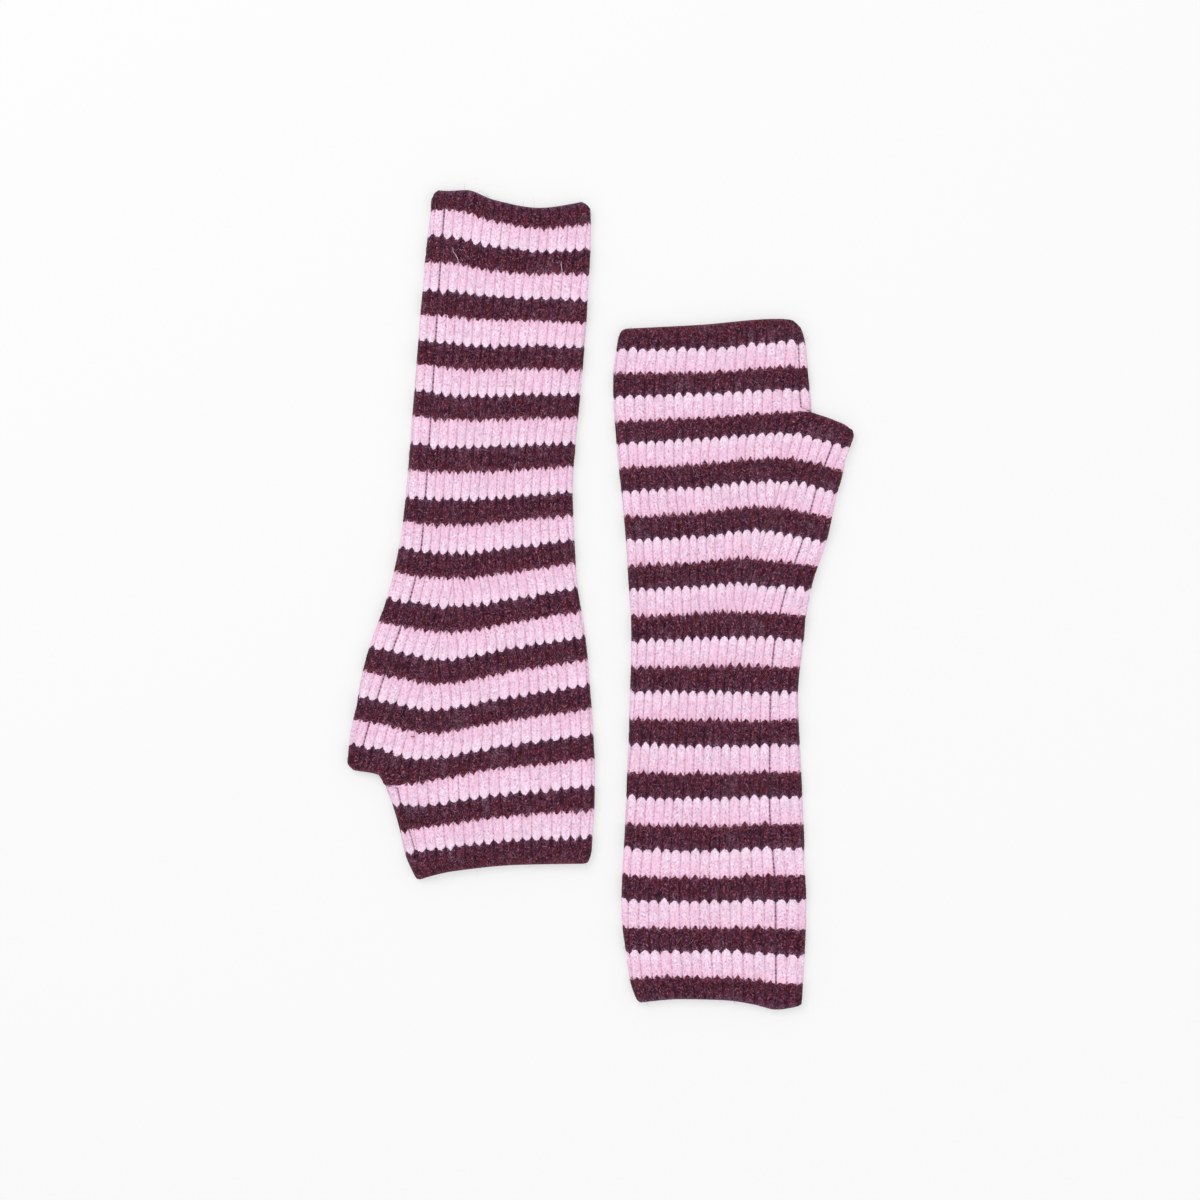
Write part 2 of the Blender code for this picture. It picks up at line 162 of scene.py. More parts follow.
RIGHT_HAND = (
    HandLine(23, -35.8, -30.6, -29.4, 53.3, 12.3, -113.6, -113.3, -111.1, -109.0),
    HandLine(24, -34.9, -29.7, -26.1, 54.0, 12.3, -123.2, -123.2, -121.0, -119.7),
    HandLine(25, -34.2, -29.5, -25.7, 53.8, 12.3, -133.4, -133.8, -131.2, -130.9),
    HandLine(26, -33.1, -29.0, -25.2, 52.6, 12.3, -143.9, -144.5, -141.3, -141.0),
    HandLine(26.6, -31.5, -27.9, -23.9, 51.5, 12.3, -150.3, -151.2, -148.1, -147.2),
    HandLine(27, -27.0, -23.9, -19.8, 50.0, 12.3, -154.9, -155.3, -152.6, -150.8),
)
LEFT_PLACE = (-57.85, 29.25, 0.0)
RIGHT_PLACE = (59.85, -29.0, math.pi)


def glide(at, marks, values):
    """Smooth curves that never overshoot. Marks and values run down the first axis, for one or many."""
    at = np.asarray(at, dtype=float)
    marks = np.asarray(marks, dtype=float)
    values = np.asarray(values, dtype=float)
    spare = (1,) * (at.ndim + 1 - marks.ndim)
    marks = marks.reshape(marks.shape + spare)
    values = values.reshape(values.shape + spare)
    span = np.diff(marks, axis=0)
    rise = np.diff(values, axis=0) / span
    slope = np.empty_like(values)
    slope[0] = rise[0]
    slope[-1] = rise[-1]
    before = rise[:-1]
    after = rise[1:]
    same_way = before * after > 0
    slope[1:-1] = np.where(same_way, 2 * before * after / np.where(same_way, before + after, 1), 0)
    at = np.clip(at, marks[0], marks[-1])
    piece = (at >= marks[1:-1]).sum(axis=0)[None]

    def picked(table, step=0):
        return np.take_along_axis(np.broadcast_to(table, table.shape[:1] + at.shape), piece + step, axis=0)[0]

    width = picked(span)
    t = (at - picked(marks)) / width
    start = (1 + 2 * t) * (1 - t) ** 2 * picked(values) + t * (1 - t) ** 2 * width * picked(slope)
    end = t * t * (3 - 2 * t) * picked(values, 1) + t * t * (t - 1) * width * picked(slope, 1)
    return start + end


def rows_at(table, lines):
    """The table's columns as smooth curves, read at many course lines."""
    marks = [row.line for row in table]
    return type(table[0])(*(glide(lines, marks, column) for column in zip(*table)))


def gusset_widths(lines):
    """Width of each gusset rib along the lines, as a share of a full rib, the last one started first."""
    started = GUSSET_START + np.arange(GUSSET_RIBS)[::-1, None]
    widths = np.clip((lines - started) / GUSSET_GROWTH, 0, 1)
    widths[0] *= np.clip(1 - (lines - THUMB_HEM) / HAND_RIB_CLOSES, 0, 1)
    return widths


class Lay:
    """How courses lie between two hems. A place on one is its way round from the thumb-side outline."""

    def __init__(self, row, x_marks, y_marks):
        self.thumb_fold = row.thumb_x + FOLD_INSET
        self.far_fold = row.far_x - FOLD_INSET
        self.face = self.far_fold - self.thumb_fold - 2 * FOLD_RADIUS + 2 * QUARTER_TURN
        self.x_marks = np.array(x_marks)[..., None]
        self.y_marks = np.array(y_marks)[..., None]

    def way(self, x):
        """Way round from the thumb-side outline to an x on the upper face."""
        return x - self.thumb_fold - FOLD_RADIUS + QUARTER_TURN

    def points(self, place):
        """For places by row and column: x of the fold's middle line, y, the outward way in x and z, and how
        much of the upper face shows there."""
        face = self.face[:, None]
        thumb_fold = self.thumb_fold[:, None]
        far_fold = self.far_fold[:, None]
        upper = place < face / 2
        far = ~upper & (place < face * 1.5)
        fold = np.where(far, far_fold, thumb_fold)
        inward = np.where(far, -1, 1)
        along = np.where(upper, place, np.where(far, face - place, place - 2 * face))
        turn = np.clip(along, -QUARTER_TURN, QUARTER_TURN)
        angle = turn / FOLD_RADIUS
        middle_x = fold + inward * (FOLD_RADIUS + abs(along) - abs(turn))
        out_x = -inward * np.cos(angle)
        y = glide(middle_x + out_x * FOLD_RADIUS, self.x_marks, self.y_marks)
        shown = (turn / QUARTER_TURN + 1) / 2
        return np.stack((middle_x, y, out_x, np.sin(angle), shown * shown * (3 - 2 * shown)), axis=-1)


def arm_lay(table, lines):
    """Lay of the arm's courses, and their rows of the table."""
    row = rows_at(table, lines)
    lean_x = (row.seam_x + row.gusset_x) / 2
    mid_x = (row.bend_x + row.far_x) / 2
    x_marks = (row.thumb_x, row.seam_x, lean_x, row.bend_x, mid_x, row.far_x)
    y_marks = (row.thumb_y, row.seam_y, row.lean_y, row.bend_y, row.mid_y, row.far_y)
    return Lay(row, x_marks, y_marks), row


def hand_lay(table, lines):
    """The same for the hand's courses."""
    row = rows_at(table, lines)
    x_marks = (row.thumb_x, row.bend_x, (row.bend_x + row.far_x) / 2, row.far_x)
    return Lay(row, x_marks, (row.thumb_y, row.bend_y, row.mid_y, row.far_y)), row


def evenly(first, last, ribs):
    """Borders of so many even ribs after the first border, up to the last."""
    return [first + (last - first) * rib / ribs for rib in range(1, ribs + 1)]


def front_borders(lay, row, lines, start):
    """Borders after the gusset's line, over the gusset and the body round the far fold, and a rib's width."""
    widths = gusset_widths(lines)
    width = (lay.face - start) / (row.ribs + widths.sum(axis=0))
    borders = list(start + width * np.cumsum(widths, axis=0))
    return borders + [borders[-1] + width * rib for rib in range(1, BODY_RIBS + 1)], width


def arm_borders(lay, row, lines, crotch_x):
    """Places of all the ribs' borders on the arm's courses."""
    edge = lay.way(row.seam_x) + SEAM_GAP / 2
    gusset = lay.way(row.gusset_x)
    swing = np.clip((lines - THUMB_HEM + CROTCH_LINES) / CROTCH_LINES, 0, 1) ** CROTCH_SWING
    hand_start = gusset + (lay.way(crotch_x) - gusset) * swing
    front, width = front_borders(lay, row, lines, gusset)
    hand_edge = 2 * lay.face - hand_start
    last = 2 * lay.face + edge - SEAM_GAP
    turn = last - (gusset - edge)
    borders = [edge, *evenly(edge, hand_start, LEAN_RIBS), *front]
    borders += evenly(front[-1], hand_edge - HAND_STRIP_RIBS * width, BACK_RIBS)
    borders += evenly(borders[-1], hand_edge, HAND_STRIP_RIBS)
    borders += evenly(hand_edge, turn, THUMB_BACK_RIBS)
    borders += evenly(turn, last, STRIP_RIBS)
    return np.stack(borders, axis=-1)


def hand_seam(lay, row, lines):
    """Places of the hand's seam, which rolls up over the fold from the crotch to its own line."""
    own = lay.way(row.seam_x)
    risen = float(np.interp(SEAM_RISE[-1], lines, own))
    rising = glide(lines, SEAM_RISE, (0, QUARTER_TURN * SEAM_ROLLED, QUARTER_TURN, risen))
    return np.where(lines < SEAM_RISE[-1], rising, own)


def hand_borders(lay, row, lines):
    """Places of the hand panel's borders."""
    front, width = front_borders(lay, row, lines, lay.way(row.seam_x))
    seam = hand_seam(lay, row, lines)
    hand_edge = 2 * lay.face + seam - SEAM_GAP / 2
    borders = [seam + SEAM_GAP / 2, *front]
    borders += evenly(front[-1], hand_edge - HAND_STRIP_RIBS * width, BACK_RIBS)
    borders += evenly(borders[-1], hand_edge, HAND_STRIP_RIBS)
    return np.stack(borders, axis=-1)


def slid(points, rows_on):
    """The points, each moved along its own rib by a number of rows."""
    count, columns = points.shape[:2]
    at = np.clip(np.arange(count)[:, None] + rows_on, 0, count - 1)
    low = np.minimum(at.astype(int), count - 2)
    part = (at - low)[..., None]
    column = np.arange(columns)
    return points[low, column] * (1 - part) + points[low + 1, column] * part


class Cloth:
    """The panel of one warmer, as rows along its courses and columns along its ribs."""

    def __init__(self, arm_table, hand_table, seed):
        random = np.random.default_rng(seed)
        ribs = [FRONT_RIB] * FRONT_RIBS + [BACK_RIB] * (BACK_RIBS + HAND_STRIP_RIBS + THUMB_BACK_RIBS)
        ribs += [FRONT_RIB[::2]] * STRIP_RIBS
        self.strip = np.array([number for number, rib in enumerate(ribs) for _ in rib] + [len(ribs) - 1])
        self.share = np.array([share for rib in ribs for share, _ in rib] + [1.0])
        crest = np.array([height for rib in ribs for _, height in rib] + [0.0])
        self.across = self.strip + self.share
        self.hand = slice(
            int(np.searchsorted(self.across, LEAN_RIBS)),
            int(np.searchsorted(self.across, len(ribs) - THUMB_BACK_RIBS - STRIP_RIBS)) + 1,
        )

        arm_lines = np.linspace(0, THUMB_HEM, THUMB_HEM * LINE_ROWS + 1)
        hand_lines = np.linspace(THUMB_HEM, HAND_HEM, (HAND_HEM - THUMB_HEM) * LINE_ROWS + 1)
        self.lines = np.concatenate((arm_lines, hand_lines[1:]))
        self.thumb_rows = len(arm_lines)
        wander = self.wander(random, len(ribs))

        lay, row = arm_lay(arm_table, arm_lines)
        crotch_x = hand_table[0].thumb_x + FOLD_INSET
        borders = arm_borders(lay, row, arm_lines, crotch_x) + wander[: self.thumb_rows]
        arm = lay.points(self.places(borders, self.strip))
        self.crotch = arm[-1, self.hand.start, :2].copy()
        from_crotch = np.hypot(arm[..., 0] - self.crotch[0], arm[..., 1] - self.crotch[1])
        drawn = np.clip(1 - from_crotch / CROTCH_REACH, 0, 1)
        drawn = CROTCH_DRAWN * drawn * drawn * (3 - 2 * drawn)
        arm[..., 0] += np.sin(drawn * np.pi / 2) * FOLD_RADIUS
        arm[..., 2] -= np.sin(drawn * np.pi / 2)
        arm[..., 3] *= np.cos(drawn * np.pi / 2)
        lay, row = hand_lay(hand_table, hand_lines)
        borders = hand_borders(lay, row, hand_lines)
        borders += wander[self.thumb_rows - 1 :, LEAN_RIBS : LEAN_RIBS + borders.shape[1]]
        strip = np.minimum(self.strip[self.hand] - LEAN_RIBS, borders.shape[1] - 2)
        hand = lay.points(self.places(borders, strip, self.across[self.hand] - LEAN_RIBS - strip))
        settled = (hand_lines - THUMB_HEM)[:, None, None] / np.array(HAND_SETTLES)
        hand = hand + (arm[-1, self.hand] - hand[0]) * (1 - np.clip(settled, 0, 1)) ** 2

        widths = gusset_widths(self.lines)
        full = np.ones((len(self.lines), 1))
        width = np.hstack([full] * LEAN_RIBS + [widths.T] + [full] * (len(ribs) - LEAN_RIBS - GUSSET_RIBS))
        width = width[:, self.strip]
        rows_on = self.zigzag(random, len(ribs), width) * LINE_ROWS
        to_back_edge = (self.across[self.hand.stop - 1] - self.across) / HAND_STRIP_RIBS
        to_edge = np.minimum(self.across - LEAN_RIBS, to_back_edge)
        to_hem = (abs(self.lines - THUMB_HEM) - SEAM_RISE[-1] + THUMB_HEM)[:, None] / CROTCH_LINES
        rows_on = rows_on * np.clip(np.maximum(to_edge - LEVEL_EDGE, to_hem), 0, 1)
        fade = np.clip(self.lines * COURSES, 0, 1) * np.clip((HAND_HEM - self.lines) * COURSES, 0, 1)
        thumb_fade = np.clip((THUMB_HEM - self.lines[: self.thumb_rows]) * COURSES, 0, 1)
        whole = np.concatenate((arm[:, self.hand], hand[1:]))
        self.plain = np.full((len(self.lines), len(self.across), 5), np.nan)
        self.plain[: self.thumb_rows] = arm
        self.plain[:, self.hand] = whole
        self.points = np.full_like(self.plain, np.nan)
        arm_fade = fade[: self.thumb_rows] * thumb_fade
        self.points[: self.thumb_rows] = slid(arm, rows_on[: self.thumb_rows] * arm_fade[:, None])
        self.points[:, self.hand] = slid(whole, rows_on[:, self.hand] * fade[:, None])

        self.crest = crest * width
        creased = (np.arange(len(self.lines)) % COURSE_ROWS == 0)[:, None]
        plump = PLUMPNESS * self.along_ribs(random.normal(size=(COURSE_MARKS, len(ribs))))[:, self.strip]
        self.raised = self.crest * RIB_HEIGHT - self.crest * (STITCH_DEPTH * creased - plump)

    def places(self, borders, strip, share=None):
        """Places of the columns that lie in these strips."""
        share = self.share if share is None else share
        return borders[:, strip] + share * (borders[:, strip + 1] - borders[:, strip])

    def along_ribs(self, by_course):
        """Values given for each course, read at each row."""
        courses = np.arange(len(by_course))
        rows = self.lines * COURSES
        return np.stack([np.interp(rows, courses, column) for column in by_course.T], axis=-1)

    def wander(self, random, ribs):
        """How far each border between two ribs strays from its place, none near the panel's own edges."""
        marks = np.arange(0, HAND_HEM + 1, RIB_WANDER_STEP)
        slow = random.normal(0, RIB_WANDER, (len(marks), ribs + 1))
        slow = np.stack([np.interp(self.lines, marks, column) for column in slow.T], axis=-1)
        quick = self.along_ribs(random.normal(0, RIB_JITTER, (COURSE_MARKS, ribs + 1)))
        astray = slow + quick
        astray[:, :STEADY_BORDERS] = 0
        astray[:, -STEADY_BORDERS:] = 0
        return astray

    def zigzag(self, random, ribs, width):
        """How far each point of a row is ahead, in stripes: the stitches' V, rounder where pink ends."""
        sharpness = (V_SHARPNESS + V_SHARPNESS_CHANGE * np.cos(np.pi * self.lines))[:, None]
        aside = abs(2 * self.share - 1)
        uneven = self.along_ribs(random.normal(0, V_UNEVENNESS, (COURSE_MARKS, ribs)))[:, self.strip]
        return V_DEPTH * (width * (1 - aside**sharpness) - 0.5) + uneven * (1 - aside) * width

    def surface(self):
        """Points of the outer face, thinning out towards each bound-off edge."""
        middle_x, y, out_x, out_z, shown = np.moveaxis(self.points, -1, 0)
        length = np.hypot(out_x, out_z)
        from_crotch = np.hypot(middle_x - FOLD_RADIUS - self.crotch[0], y - self.crotch[1]) / CROTCH_REACH
        from_crotch = np.clip(from_crotch, 0, 1)
        relief = self.raised * shown - BACK_GROOVE * (1 - self.crest) * (1 - shown)
        outer = FOLD_RADIUS + from_crotch * relief
        to_edge = np.minimum(self.lines, HAND_HEM - self.lines)[:, None] * STRIPE_LENGTH
        to_thumb_edge = abs(THUMB_HEM - self.lines)[:, None] * STRIPE_LENGTH
        on_hand = np.zeros(len(self.across), dtype=bool)
        on_hand[self.hand] = True
        to_edge = np.where(on_hand, to_edge, np.minimum(to_edge, to_thumb_edge))
        left = np.clip(1 - to_edge / EDGE_ROUNDING, 0, EDGE_THINNED) * from_crotch
        outer = LAYER_GAP / 2 + (outer - LAYER_GAP / 2) * np.sqrt(1 - left * left)
        return np.stack((middle_x + out_x / length * outer, y, FOLD_RADIUS + out_z / length * outer), axis=-1)

    def lining(self):
        """Points of the inner face."""
        middle_x, y, out_x, out_z, _ = np.moveaxis(self.plain, -1, 0)
        inner = LAYER_GAP / 2
        return np.stack((middle_x + out_x * inner, y, FOLD_RADIUS + out_z * inner), axis=-1)


def placed(points, place):
    """Points in metres where this warmer lies on the table."""
    cos = math.cos(place[2])
    sin = math.sin(place[2])
    x = points[..., 0] * cos - points[..., 1] * sin + place[0]
    y = points[..., 0] * sin + points[..., 1] * cos + place[1]
    return np.stack((x, y, points[..., 2]), axis=-1) * MM


WELDED = 0.02            # points nearer than this become one

# Flat map: the outer face on the left, strips round it for the sides and hems, and the lining on the right
OUTER_START = 0.02
OUTER_WIDTH = 0.6
LINING_START = 0.66
LINING_WIDTH = 0.3
FLAT_BOTTOM = 0.03
FLAT_HEIGHT = 0.94
FLAT_SIDE = 0.008
FLAT_HEM = 0.012
LINING_HEM = 0.05        # courses at the hems that the colour of the lining and the sides leaves out


class Sewn:
    """Collects a mesh's faces with two maps: rib and course for the pattern, and a flat one for the bake."""

    def __init__(self):
        self.faces = []
        self.knit = []
        self.flat = []

    def add(self, face, knit, flat):
        self.faces.append([int(point) for point in face])
        self.knit.extend(knit)
        self.flat.extend(flat)

    def piece(self, name, points, material):
        mesh = bpy.data.meshes.new(name)
        mesh.from_pydata(points.tolist(), [], self.faces)
        for map_name, corners in (("knit", self.knit), ("OFBake", self.flat)):
            layer = mesh.uv_layers.new(name=map_name)
            layer.data.foreach_set("uv", np.asarray(corners, dtype=np.float32).ravel())
        bm = bmesh.new()
        bm.from_mesh(mesh)
        bmesh.ops.remove_doubles(bm, verts=bm.verts, dist=WELDED * MM)
        bmesh.ops.delete(bm, geom=[vert for vert in bm.verts if not vert.link_faces], context="VERTS")
        bm.to_mesh(mesh)
        bm.free()
        mesh.shade_smooth()
        mesh.materials.append(material)
        made = bpy.data.objects.new(name, mesh)
        bpy.context.scene.collection.objects.link(made)
        return made


def knitted(name, cloth, place, material):
    """One warmer's cloth as a closed wall: the outer face, the plainer lining and the edges between them."""
    rows = len(cloth.lines)
    columns = len(cloth.across)
    outer = np.full((rows, columns), -1)
    there = ~np.isnan(cloth.points[..., 0])
    outer[there] = np.arange(there.sum())
    inner_columns = np.append(np.flatnonzero(cloth.share == 0), columns - 1)
    inner_rows = np.arange(0, rows, COURSE_ROWS)
    lining = cloth.lining()[np.ix_(inner_rows, inner_columns)]
    lined = ~np.isnan(lining[..., 0])
    inner = np.full(lined.shape, -1)
    inner[lined] = there.sum() + np.arange(lined.sum())
    points = np.concatenate((cloth.surface()[there], lining[lined]))

    sewn = Sewn()
    course = cloth.lines * COURSES
    last = course[-1]
    across = cloth.across

    def knit_at(row, column):
        return across[column], min(max(course[row], LINING_HEM), last - LINING_HEM)

    def flat_place(rib, along, start=OUTER_START, width=OUTER_WIDTH):
        return start + width * rib / across[-1], FLAT_BOTTOM + FLAT_HEIGHT * along / last

    def flat_at(row, column, aside):
        x, y = flat_place(across[column], course[row])
        return x + aside[0], y + aside[1]

    knit = np.stack(np.broadcast_arrays(across[None, :], course[:, None]), axis=-1)
    flat = np.stack(flat_place(knit[..., 0], knit[..., 1]), axis=-1)
    # A bound-off edge keeps the colour of its own stripe
    knit[..., 1] = np.clip(knit[..., 1], BOUND_OFF, last - BOUND_OFF)
    thumb_edge = THUMB_HEM * COURSES - BOUND_OFF
    for thumb in (slice(0, cloth.hand.start), slice(cloth.hand.stop, None)):
        knit[: cloth.thumb_rows, thumb, 1] = np.minimum(knit[: cloth.thumb_rows, thumb, 1], thumb_edge)
    corners = np.stack((outer[:-1, :-1], outer[1:, :-1], outer[1:, 1:], outer[:-1, 1:]), axis=-1)
    whole = (corners >= 0).all(axis=-1)
    for grid, kept in ((knit, sewn.knit), (flat, sewn.flat)):
        around = np.stack((grid[:-1, :-1], grid[1:, :-1], grid[1:, 1:], grid[:-1, 1:]), axis=-2)
        kept.extend(around[whole].reshape(-1, 2).tolist())
    sewn.faces.extend(corners[whole].tolist())

    for upper in range(len(inner_rows) - 1):
        row = inner_rows[upper]
        below = inner_rows[upper + 1]
        for left in range(len(inner_columns) - 1):
            ring = [*inner[upper, left : left + 2], *inner[upper + 1, left : left + 2][::-1]]
            if min(ring) < 0:
                continue
            spots = [(row, left), (row, left + 1), (below, left + 1), (below, left)]
            knit_ring = [knit_at(r, inner_columns[c]) for r, c in spots]
            flat_ring = [flat_place(rib, along, LINING_START, LINING_WIDTH) for rib, along in knit_ring]
            sewn.add(ring, knit_ring, flat_ring)

        first = 0 if row < cloth.thumb_rows - 1 else cloth.hand.start
        final = columns - 1 if row < cloth.thumb_rows - 1 else cloth.hand.stop - 1
        for column, away, turned in ((first, -FLAT_SIDE, False), (final, FLAT_SIDE, True)):
            side = int(np.searchsorted(inner_columns, column))
            ring = [*outer[row : below + 1, column][::-1], *inner[upper : upper + 2, side]]
            spots = [(r, (0, 0)) for r in range(below, row - 1, -1)] + [(row, (away, 0)), (below, (away, 0))]
            knit_ring = [knit_at(r, column) for r, _ in spots]
            flat_ring = [flat_at(r, column, aside) for r, aside in spots]
            if turned:
                ring, knit_ring, flat_ring = ring[::-1], knit_ring[::-1], flat_ring[::-1]
            sewn.add(ring, knit_ring, flat_ring)

    thumb_row = cloth.thumb_rows - 1
    hems = [(0, 0, columns - 1, False), (rows - 1, cloth.hand.start, cloth.hand.stop - 1, True)]
    hems += [(thumb_row, 0, cloth.hand.start, True), (thumb_row, cloth.hand.stop - 1, columns - 1, True)]
    for row, first, final, towards_hand in hems:
        away = FLAT_HEM if towards_hand else -FLAT_HEM
        inner_row = row // COURSE_ROWS
        # A hem's end takes its colour from the middle of its own stripe
        inside = -COURSES / 2 if towards_hand else COURSES / 2
        for left in range(len(inner_columns) - 1):
            start, stop = inner_columns[left : left + 2]
            if start < first or stop > final:
                continue
            ring = [*outer[row, start : stop + 1], *inner[inner_row, left : left + 2][::-1]]
            spots = [(c, (0, 0)) for c in range(start, stop + 1)] + [(stop, (0, away)), (start, (0, away))]
            knit_ring = [(across[c], course[row] + inside) for c, _ in spots]
            flat_ring = [flat_at(row, c, aside) for c, aside in spots]
            if towards_hand:
                ring, knit_ring, flat_ring = ring[::-1], knit_ring[::-1], flat_ring[::-1]
            sewn.add(ring, knit_ring, flat_ring)
    return sewn.piece(name, placed(points, place), material)


class Signal:
    """One output of a shader node. Sums on signals add Math nodes to their material."""

    def __init__(self, tree, socket):
        self.tree = tree
        self.socket = socket

    def node(self, kind, settings=(), inputs=(), output=0):
        """Output of a new node: its settings are made first, then each socket gets its value or link."""
        made = self.tree.nodes.new(kind)
        for name, value in dict(settings).items():
            if name == "stops":
                ramp = made.color_ramp
                while len(ramp.elements) < len(value):
                    ramp.elements.new(1.0)
                for stop, (position, colour) in zip(ramp.elements, value):
                    stop.position = position
                    stop.color = colour
            else:
                setattr(made, name, value)
        for name, value in dict(inputs).items():
            if isinstance(value, Signal):
                self.tree.links.new(value.socket, made.inputs[name])
            else:
                made.inputs[name].default_value = value
        return Signal(self.tree, made.outputs[output])

    def math(self, operation, *values):
        return self.node("ShaderNodeMath", {"operation": operation}, enumerate(values))

    def mix(self, first, second):
        """Colour between two others, by this signal."""
        return self.node("ShaderNodeMix", {"data_type": "RGBA"}, {0: self, 6: first, 7: second}, output=2)

    def between(self, low, high):
        """0 at low, 1 at high, smooth in between."""
        sockets = {"Value": self, "From Min": low, "From Max": high}
        return self.node("ShaderNodeMapRange", {"interpolation_type": "SMOOTHSTEP"}, sockets)

    def __add__(self, other):
        return self.math("ADD", self, other)

    def __radd__(self, other):
        return self.math("ADD", other, self)

    def __sub__(self, other):
        return self.math("SUBTRACT", self, other)

    def __rsub__(self, other):
        return self.math("SUBTRACT", other, self)

    def __mul__(self, other):
        return self.math("MULTIPLY", self, other)

    def __rmul__(self, other):
        return self.math("MULTIPLY", other, self)

    def __truediv__(self, other):
        return self.math("DIVIDE", self, other)

    def __pow__(self, other):
        return self.math("POWER", self, other)

    def __mod__(self, other):
        return self.math("MODULO", self, other)

    def __abs__(self):
        return self.math("ABSOLUTE", self)


def rgb(red, green, blue):
    """Linear colour of a screen colour."""
    screen = np.array((red, green, blue)) / 255
    linear = np.where(screen > 0.04045, ((screen + 0.055) / 1.055) ** 2.4, screen / 12.92)
    return (*linear.tolist(), 1.0)


RIB_PITCH = 4.2          # width of a rib and height of a course, which one step of the knit map stands for
COURSE_PITCH = 1.9
GRAIN_ROUGHNESS = 0.55


def start_material(name):
    """A new material's shader and its knit map."""
    material = bpy.data.materials.new(name)
    material.use_nodes = True
    tree = material.node_tree
    shader = tree.nodes["Principled BSDF"]
    knit = tree.nodes.new("ShaderNodeUVMap")
    knit.uv_map = "knit"
    return material, shader, Signal(tree, knit.outputs["UV"])


def noise(source, across, along, scale, detail, z=0.0):
    """Grain with so many blotches to a millimetre, longer in one way where the ways are scaled unequally."""
    spot = source.node("ShaderNodeCombineXYZ", {}, {"X": across, "Y": along, "Z": z})
    sockets = {"Vector": spot, "Scale": scale, "Detail": detail, "Roughness": GRAIN_ROUGHNESS}
    return source.node("ShaderNodeTexNoise", {}, sockets)


def felt(spot, scale, detail, aside):
    """Even mottling of the felted surface, with so many blotches to a millimetre."""
    spot = spot.node("ShaderNodeVectorMath", {"operation": "ADD"}, {0: spot, 1: (aside, 0.0, 0.0)})
    sockets = {"Vector": spot, "Scale": scale / MM, "Detail": detail, "Roughness": GRAIN_ROUGHNESS}
    return spot.node("ShaderNodeTexNoise", {}, sockets)


